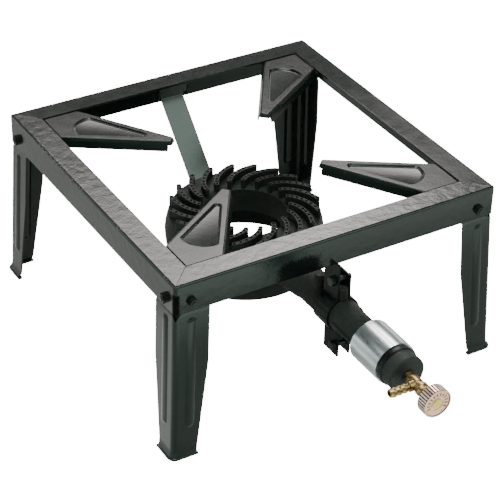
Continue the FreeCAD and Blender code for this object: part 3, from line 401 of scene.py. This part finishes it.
strap_paint = enamel("strap_paint", 0.00003, 0.0030, gloss=0.22, shine=0.75)
paint_over("burner_strap", strap_paint)

# ---------------------------------------------------------------- fasteners
# Hexagon screws and nuts in oiled black steel: two through each leg, two across the
# clamp and one at the strap's foot; the last three end in bare thread.

THREAD_PITCH = 0.0010
THREAD_DEPTH = 0.00022
CLAMP_EAR_SIDE = 0.0084
STRAP_LUG_SIDE = 0.1800
OIL_DARK = (0.0028, 0.0042, 0.0038)
OIL_LIGHT = (0.010, 0.013, 0.012)
BARE_STEEL = (0.06, 0.062, 0.06)


def blackened(name, threaded=None):
    """Oiled black steel; threaded measures along a screw where its thread is bare."""
    coat = finish(name)
    here = coat.place()
    cloud = coat.noise(here, 220.0, 4.0, 0.6)
    colour = coat.blend(cloud, OIL_DARK, OIL_LIGHT)
    height = cloud * 0.0003
    if threaded is not None:
        along, bare = threaded(coat, here)
        crest = (along * (2 * math.pi / THREAD_PITCH)).wave() * 0.5 + 0.5
        colour = coat.blend(bare * crest.step(0.55, 0.95) * 0.7, colour, BARE_STEEL)
        height = height + crest * bare * THREAD_DEPTH
    return coat.surface(Base_Color=colour, Roughness=0.20 + cloud * 0.18,
                        Specular_IOR_Level=0.30, Specular_Tint=GREEN_SHEEN,
                        Normal=coat.bump(height, 1.0))


def clamp_thread(coat, here):
    """The clamp's screws lie along X and come bare past the right half's ear."""
    across = coat.split(here)[0]
    return across, across.step(CLAMP_EAR_SIDE, CLAMP_EAR_SIDE + 0.0002)


def strap_thread(coat, here):
    """The strap's screw lies along Y and comes bare past the burner's lug."""
    along = coat.split(here)[1]
    return along, 1 - along.step(STRAP_LUG_SIDE - 0.0002, STRAP_LUG_SIDE)


black_fasteners = blackened("black_fasteners")
paint_over("leg_bolts", black_fasteners)
paint_over("leg_nuts", black_fasteners)
paint_over("clamp_bolts", blackened("clamp_screws", clamp_thread))
paint_over("strap_bolt", blackened("strap_screw", strap_thread))

# ---------------------------------------------------------------- weld beads
# Short rows of overlapping puddles: under the mitres, where the supports' skirts
# meet the flanges, and down both sides of the strap's pad.

BEAD_OVERLAP = 0.62
CORNER_BEAD, PAD_BEAD = 0.00189, 0.00168
CORNER_ROWS = (((0.1800, 0.1800, 0.2138), (0.1925, 0.1925, 0.2138)),
               ((0.1722, 0.1252, 0.2120), (0.1755, 0.1258, 0.2120)),
               ((0.1252, 0.1722, 0.2120), (0.1258, 0.1755, 0.2120)))
PAD_SIDES = (-0.0060, 0.0320)
PAD_BACK = 0.2826
PAD_UP = (0.1850, 0.1965)


def bead_row(bm, start, end, radius):
    """Overlapping flattened puddles from start to end, each a little larger or smaller."""
    start, end = Vector(start), Vector(end)
    run = end - start
    count = max(2, round(run.length / (radius * BEAD_OVERLAP)))
    along = run.to_track_quat("X", "Z").to_matrix().to_4x4()
    for k in range(count):
        swell = radius * (1.0 + 0.10 * math.sin(2.3 * k + 40.0 * start.x))
        bmesh.ops.create_uvsphere(bm, u_segments=12, v_segments=8, radius=swell, matrix=(
            Matrix.Translation(start + run * (k / (count - 1))) @ along
            @ Matrix.Diagonal((BEAD_OVERLAP, 1.0, 1.0, 1.0))))


bm = bmesh.new()
for corner in corner_turns():
    for start, end in CORNER_ROWS:
        bead_row(bm, corner @ Vector(start), corner @ Vector(end), CORNER_BEAD)
for side in PAD_SIDES:
    bead_row(bm, *((side, PAD_BACK, up) for up in PAD_UP), PAD_BEAD)
weld_paint = enamel("weld_paint", 0.00003, 0.0020, gloss=0.14, shine=0.35)
new_piece("weld_beads", smoothed(bm), weld_paint, "stand")

# ---------------------------------------------------------------- burner casting
# A sand-cast iron ring with twenty curved ribs, each drilled with gas ports, and
# a neck that carries the mixing tube; blackened, and lighter on the ribs' flat tops.

SAND_SCALE, RUST_SCALE = 900.0, 60.0
IRON_DARK = (0.0070, 0.0098, 0.0080)
IRON_LIGHT = (0.0190, 0.0245, 0.0205)
IRON_TOP_TONE = (0.018, 0.021, 0.018)
RIB_TOP = (0.1446, 0.1449)


def cast_iron(name, lighter_top):
    """Sand-cast and blackened; lighter_top makes the up-facing faces at the ribs' top level
    lighter.
    """
    coat = finish(name)
    here = coat.place()
    grain = coat.noise(here, SAND_SCALE, 3.0, 0.65)
    cloud = coat.noise(here, RUST_SCALE, 4.0, 0.6)
    colour = coat.blend(cloud, IRON_DARK, IRON_LIGHT)
    rough = 0.34 + grain * 0.22
    if lighter_top:
        bare = coat.split(here)[2].step(*RIB_TOP) * coat.facing()[2].step(0.6, 0.9)
        top_tone = bare * (0.55 + 0.45 * cloud.step(0.35, 0.6))
        colour = coat.blend(top_tone, colour, IRON_TOP_TONE)
    return coat.surface(Base_Color=colour, Roughness=rough, Specular_IOR_Level=0.09,
                        Specular_Tint=GREEN_SHEEN, Normal=coat.bump(grain, 0.0004))


paint_over("burner_head", cast_iron("burner_iron", True))
paint_over("mixing_tube", cast_iron("tube_iron", False))

# ---------------------------------------------------------------- clamp
# Two pressed halves round the neck, hung on the front rail's flange and drawn
# together by screws.

clamp_paint = enamel("clamp_paint", 0.00005, 0.0030, gloss=0.22, shine=0.09)
paint_over("clamp_left", clamp_paint)
paint_over("clamp_right", clamp_paint)

# ---------------------------------------------------------------- air sleeve and end cap
# A rolled, zinc-plated sleeve slides on the black cast end cap and covers the air
# windows.

TUBE_HEIGHT = 0.120
SEAM_TURN = math.radians(7.7)
SEAM_HALF, SEAM_SOFT = 0.010, 0.006
ZINC_DARK, ZINC_LIGHT = (0.48, 0.57, 0.56), (0.66, 0.76, 0.75)
ZINC_STAIN = (0.10, 0.11, 0.12)
CAP_DARK, CAP_LIGHT = (0.0100, 0.0135, 0.0110), (0.0200, 0.0250, 0.0210)
CAP_SHADE_BLACK = (0.0008, 0.0014, 0.0012)
SHADE_BAND_FROM = (-0.2300, -0.2285)


def around(coat, here):
    """Angle round the burner's axis from the top towards -X, distance from it and Y."""
    across, along, up = coat.split(here)
    up = up - TUBE_HEIGHT
    return (0 - across).turn_from(up), (across * across + up * up) ** 0.5, along


def zinc(name):
    """Bright zinc, streaked along the tube and spotted, with a dark rolled seam."""
    coat = finish(name)
    here = coat.place()
    streaks = coat.noise(coat.place(scale=(1, 0.06, 1)), 420.0, 4.0, 0.6)
    cloud = coat.noise(here, 90.0, 3.0)
    spots = coat.noise(here, 1500.0, 2.0, 0.6).step(0.66, 0.74)
    turn = around(coat, here)[0]
    seam = turn.band(SEAM_TURN - SEAM_HALF, SEAM_TURN + SEAM_HALF, SEAM_SOFT)
    colour = coat.blend(cloud, ZINC_DARK, ZINC_LIGHT)
    colour = coat.blend(spots * 0.35 + seam * 0.75, colour, ZINC_STAIN)
    return coat.surface(Base_Color=colour, Metallic=1.0,
                        Roughness=0.22 + streaks * 0.14 + spots * 0.2,
                        Normal=coat.bump(streaks * 0.00012 - seam * 0.0003, 1.0))


paint_over("air_sleeve", zinc("zinc_sleeve"))


def cap_black(name):
    """Cast black with a matt face; the band next to the sleeve's lip is painted near-black and
    smoother, a painted shadow of the gap there.
    """
    coat = finish(name)
    here = coat.place()
    grain = coat.noise(here, 1100.0, 3.0, 0.6)
    cloud = coat.noise(here, 60.0, 4.0, 0.6)
    # painted shadow: a near-black, smoother band next to the sleeve's lip
    band = coat.split(here)[1].step(*SHADE_BAND_FROM)
    colour = coat.blend(cloud, CAP_DARK, CAP_LIGHT)
    colour = coat.blend(band, colour, CAP_SHADE_BLACK)
    return coat.surface(Base_Color=colour, Roughness=0.46 + grain * 0.14 - band * 0.2,
                        Specular_IOR_Level=0.22, Specular_Tint=GREEN_SHEEN,
                        Normal=coat.bump(grain, 0.0002))


paint_over("end_cap", cap_black("cap_black"))

# ---------------------------------------------------------------- gas valve
# Turned brass gone dull: nipple, body, ridged hose tail, gland nut and spindle, with
# black packing under the nut.

BRASS_DARK, BRASS_LIGHT = (0.15, 0.110, 0.046), (0.42, 0.32, 0.145)


def brass(name, dark, light, rough):
    """Dulled metal, clouded between two tones."""
    coat = finish(name)
    here = coat.place()
    cloud = coat.noise(here, 260.0, 4.0, 0.6)
    colour = coat.blend(cloud.step(0.3, 0.7), dark, light)
    return coat.surface(Base_Color=colour, Metallic=1.0, Roughness=rough + cloud * 0.18,
                        Normal=coat.bump(cloud, 0.00007))


valve_brass = brass("valve_brass", BRASS_DARK, BRASS_LIGHT, 0.26)
for node in ("injector", "valve_body", "hose_barb", "gland_nut", "valve_spindle"):
    paint_over(node, valve_brass)
paint_over("gland_packing", blackened("packing_rubber"))

# ---------------------------------------------------------------- control knob
# A fluted die-cast zinc knob with a pinkish yellow passivated skin, darker in its
# flutes, and ticks and two arcs printed on its face round a small yellow disc.

FACE_DARK, FACE_LIGHT = (0.50, 0.30, 0.18), (0.72, 0.50, 0.34)
SIDE_DARK, SIDE_LIGHT = (0.76, 0.66, 0.57), (0.92, 0.82, 0.72)
FLUTE_DARK = (0.060, 0.028, 0.018)
PRINT = (0.060, 0.018, 0.010)
DISC_DARK, DISC_LIGHT = (0.42, 0.36, 0.08), (0.58, 0.52, 0.15)
FLUTE_LIP = (0.01645, 0.01672)
TICK_RING, ARROW_RING = (0.0088, 0.0126), (0.0064, 0.0072)
TICKS, ARROWS, TICK_END = 17.0, 2.0, 2.2


def knob_zinc(name):
    """Pinkish passivated zinc: darker in the flutes, ticks and two arcs on the face."""
    coat = finish(name)
    here = coat.place()
    cloud = coat.noise(here, 260.0, 4.0, 0.6)
    turn, out = around(coat, here)[:2]
    front = (0 - coat.facing()[1]).step(0.6, 0.8)
    colour = coat.blend(cloud.step(0.3, 0.7), FACE_DARK, FACE_LIGHT)
    colour = coat.blend(front, coat.blend(cloud, SIDE_DARK, SIDE_LIGHT), colour)
    flute_dark = (1 - out.step(*FLUTE_LIP)) * (1 - front)
    colour = coat.blend(flute_dark * 0.92, colour, FLUTE_DARK)
    ticks = (turn * TICKS).wave().step(-0.10, 0.20) * out.band(*TICK_RING, 0.0002)
    ticks = ticks * turn.band(-TICK_END, TICK_END, 0.05)
    arrows = out.band(*ARROW_RING, 0.0002) * (turn * ARROWS).wave().step(-0.60, -0.55)
    print_mask = ticks.most(arrows) * front * cloud.step(0.25, 0.45)
    colour = coat.blend(print_mask * 0.85, colour, PRINT)
    return coat.surface(Base_Color=colour, Metallic=1.0 - print_mask * 0.8,
                        Roughness=0.26 + cloud * 0.18 + flute_dark * 0.2,
                        Normal=coat.bump(cloud * 0.0002 - print_mask * 0.0001, 1.0))


paint_over("control_knob", knob_zinc("knob_pink_zinc"))
paint_over("knob_disc", brass("knob_disc_yellow", DISC_DARK, DISC_LIGHT, 0.32))

# ---------------------------------------------------------------- studio
# A plain pale floor, white to the camera and greyer in reflections; a dim surround
# with soft bright cards, two of them warm and high behind the stand; a lamp overhead.

FLOOR_REACH = 40.0
FLOOR_WHITE, FLOOR_WHITE_GLOW = (0.90, 0.90, 0.90), 16.0
FLOOR_GREY, FLOOR_GREY_GLOW = (0.50, 0.52, 0.50), 2.5
POOL_TINT = (1.0, 1.0, 0.98)
KEY_WARMTH = (1.16, 1.0, 1.02)
KEY_ABOVE = (0.508, 0.540)
# bearing, elevation, inner and outer radius in degrees, and strength
KEY_CARDS = ((27.0, 45.0, 9.0, 14.4, 11.0), (35.2, 34.4, 1.4, 4.9, 11.5))
FILL_CARDS = ((-40.0, 20.0, 12.0, 22.0, 1.5), (48.0, 8.0, 8.0, 20.0, 1.6),
              (143.0, 44.0, 6.0, 22.0, 3.8))
LAMP_SIZE, LAMP_WATTS = 1.6, 75
LAMP_PLACE, LAMP_AIM = Vector((-0.5, -0.4, 2.6)), Vector((0.0, 0.0, 0.1))

bm = bmesh.new()
bmesh.ops.create_grid(bm, x_segments=1, y_segments=1, size=FLOOR_REACH)
floor_mesh = bpy.data.meshes.new("floor")
bm.to_mesh(floor_mesh)
bm.free()
floor = bpy.data.objects.new("floor", floor_mesh)
bpy.context.scene.collection.objects.link(floor)
pale = finish("floor_pale")
across, along = pale.split(pale.place())[:2]
# pools of light that the rails' and legs' upright faces reflect
beside = across.band(-0.33, -0.20, 0.05) * along.band(-0.10, 0.40, 0.05)
at_foot = across.band(-0.40, -0.20, 0.04) * along.band(-0.10, 0.12, 0.03)
before = along.band(-0.60, -0.362, 0.02) * (1 + across.band(-0.20, 0.08, 0.06) * 0.35)
pools = 1.2 * before + 0.10 * beside + 0.60 * at_foot


def lit(colour, tint, strength):
    """A diffuse surface that also glows evenly."""
    return pale.node("ShaderNodeAddShader", sockets={
        0: pale.node("ShaderNodeBsdfDiffuse", sockets={"Color": colour}),
        1: pale.node("ShaderNodeEmission", sockets={"Color": tint, "Strength": strength})})


matt = pale.node("ShaderNodeMixShader", sockets={
    0: pools * (1 / FLOOR_GREY_GLOW),
    1: pale.node("ShaderNodeBsdfDiffuse", sockets={"Color": FLOOR_GREY}),
    2: lit(FLOOR_GREY, POOL_TINT, FLOOR_GREY_GLOW)})
bright = lit(FLOOR_WHITE, (1, 1, 1), FLOOR_WHITE_GLOW)
seen = pale.node("ShaderNodeLightPath")
floor_mesh.materials.append(pale.ends(pale.node("ShaderNodeMixShader", sockets={
    0: seen, 1: matt, 2: bright})))

world = bpy.data.worlds.new("studio")
bpy.context.scene.world = world
sky = Shading(world)
aim = sky.node("ShaderNodeTexCoord").out("Generated")


def card(turn, height, inner, outer, strength):
    """A bright soft patch of the surround: bearing from +Y towards +X, and elevation."""
    turn, height, inner, outer = (math.radians(angle) for angle in (turn, height, inner, outer))
    centre = (math.sin(turn) * math.cos(height), math.cos(turn) * math.cos(height),
              math.sin(height))
    nearness = sky.node("ShaderNodeVectorMath", {"operation": "DOT_PRODUCT"},
                        {0: aim, 1: centre}).out("Value")
    return nearness.step(math.cos(outer), math.cos(inner)) * strength


level = sky.split(aim)[2]
glow = 0.05 + 0.12 * (1 - level.step(0.50, 0.66)) + 1.0 * (1 - level.step(0.16, 0.44))
for place in FILL_CARDS:
    glow = glow + card(*place)
key = (card(*KEY_CARDS[0]) + card(*KEY_CARDS[1])) * level.step(*KEY_ABOVE)
plain = sky.node("ShaderNodeBackground", sockets={"Color": (1, 1, 1), "Strength": glow})
warm = sky.node("ShaderNodeBackground", sockets={"Color": KEY_WARMTH, "Strength": key})
both = sky.node("ShaderNodeAddShader", sockets={0: plain, 1: warm})
sky.node("ShaderNodeOutputWorld", sockets={"Surface": both})

lamp_data = bpy.data.lights.new("overhead_lamp", "AREA")
lamp_data.shape = "DISK"
lamp_data.size = LAMP_SIZE
lamp_data.energy = LAMP_WATTS
lamp = bpy.data.objects.new("overhead_lamp", lamp_data)
lamp.location = LAMP_PLACE
lamp.rotation_euler = (LAMP_AIM - LAMP_PLACE).to_track_quat("-Z", "Y").to_euler()
bpy.context.scene.collection.objects.link(lamp)

# ---------------------------------------------------------------- camera
# Stands off the front left corner and looks down on the stand through a long lens,
# rolled a little to one side.

CAMERA_PLACE = (-0.8886, -1.38875, 1.2375)
CAMERA_TURN, CAMERA_HEIGHT, CAMERA_ROLL = -31.31, 33.90, 1.38
LENS, FILM_WIDTH = 127.76, 36

turn, height, roll = (math.radians(angle)
                      for angle in (CAMERA_TURN, CAMERA_HEIGHT, CAMERA_ROLL))
back = Vector((math.sin(turn) * math.cos(height), -math.cos(turn) * math.cos(height),
               math.sin(height)))
right = Vector((math.cos(turn), math.sin(turn), 0))
up = back.cross(right)
rolled_right = right * math.cos(roll) + up * math.sin(roll)
rolled_up = up * math.cos(roll) - right * math.sin(roll)
camera_data = bpy.data.cameras.new("camera")
camera_data.lens = LENS
camera_data.sensor_width = FILM_WIDTH
camera_data.clip_end = 100
camera = bpy.data.objects.new("camera", camera_data)
axes = Matrix((rolled_right, rolled_up, back)).transposed().to_4x4()
camera.matrix_world = Matrix.Translation(CAMERA_PLACE) @ axes
bpy.context.scene.collection.objects.link(camera)
bpy.context.scene.camera = camera
